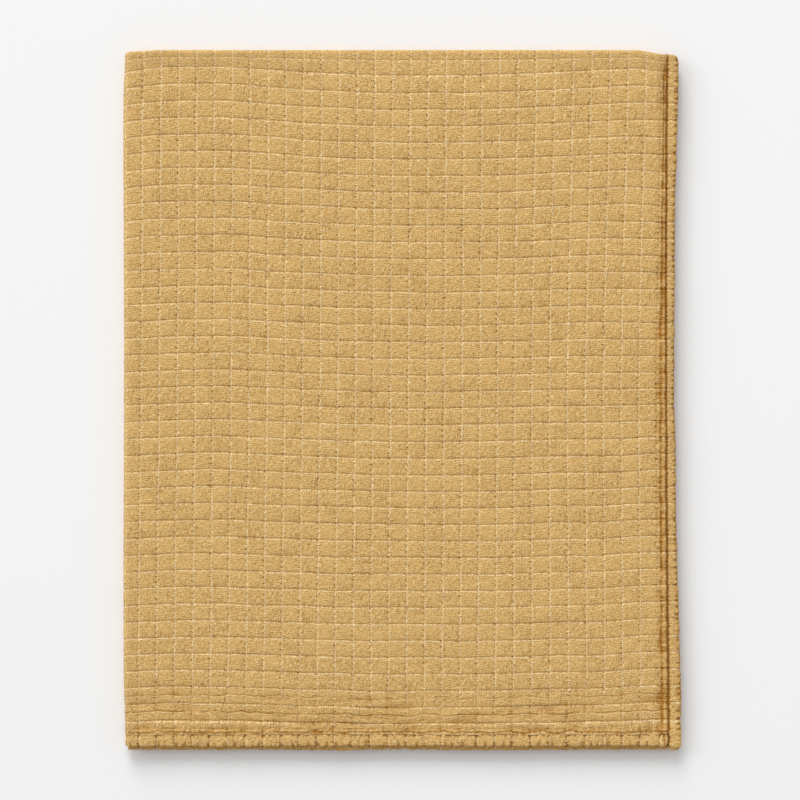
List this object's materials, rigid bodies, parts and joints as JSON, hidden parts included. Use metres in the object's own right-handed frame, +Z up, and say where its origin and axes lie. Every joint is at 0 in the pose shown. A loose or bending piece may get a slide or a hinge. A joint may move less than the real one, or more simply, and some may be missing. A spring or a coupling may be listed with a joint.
{
  "type": "folded throw blanket",
  "caption": "Cotton gauze throw folded in quarters; its upper two layers open like a book cover about the side fold.",
  "frame": {"origin": "on the floor, under the middle of the folded stack", "axes": "+Z up, +Y along the length towards the end folds, +X across the width towards the side hems; the side folds are at -X and the end hems at -Y"},
  "size_m": [0.61, 0.766, 0.0177],
  "materials": {
    "gauze_cotton": "crinkled double gauze, matt",
    "sewing_thread": "spun thread, matt",
    "label_satin": "satin ribbon"
  },
  "bodies": {
    "lower_half": {"bottom_panel_back_ply": "gauze_cotton", "bottom_panel_end_hem": "gauze_cotton", "bottom_panel_face_ply": "gauze_cotton", "bottom_panel_hem_stitching": "sewing_thread", "bottom_panel_side_hem": "gauze_cotton", "care_label": "label_satin", "lower_end_fold": "gauze_cotton", "lower_inner_panel_back_ply": "gauze_cotton", "lower_inner_panel_end_hem": "gauze_cotton", "lower_inner_panel_face_ply": "gauze_cotton", "lower_inner_panel_hem_stitching": "sewing_thread", "lower_inner_panel_side_hem": "gauze_cotton", "lower_inner_side_fold": "gauze_cotton", "lower_outer_side_fold": "gauze_cotton"},
    "upper_half": {"top_panel_back_ply": "gauze_cotton", "top_panel_end_hem": "gauze_cotton", "top_panel_face_ply": "gauze_cotton", "top_panel_hem_stitching": "sewing_thread", "top_panel_side_hem": "gauze_cotton", "upper_end_fold": "gauze_cotton", "upper_inner_panel_back_ply": "gauze_cotton", "upper_inner_panel_end_hem": "gauze_cotton", "upper_inner_panel_face_ply": "gauze_cotton", "upper_inner_panel_hem_stitching": "sewing_thread", "upper_inner_panel_side_hem": "gauze_cotton", "upper_inner_side_fold": "gauze_cotton", "upper_outer_side_fold": "gauze_cotton"}
  },
  "joints": [
    {"name": "unfold_side", "type": "hinge", "parent": "lower_half", "child": "upper_half", "pos_m": [-0.305, 0, 0.00885], "axis": [0, -1, 0], "range_deg": [0, 180]}
  ]
}
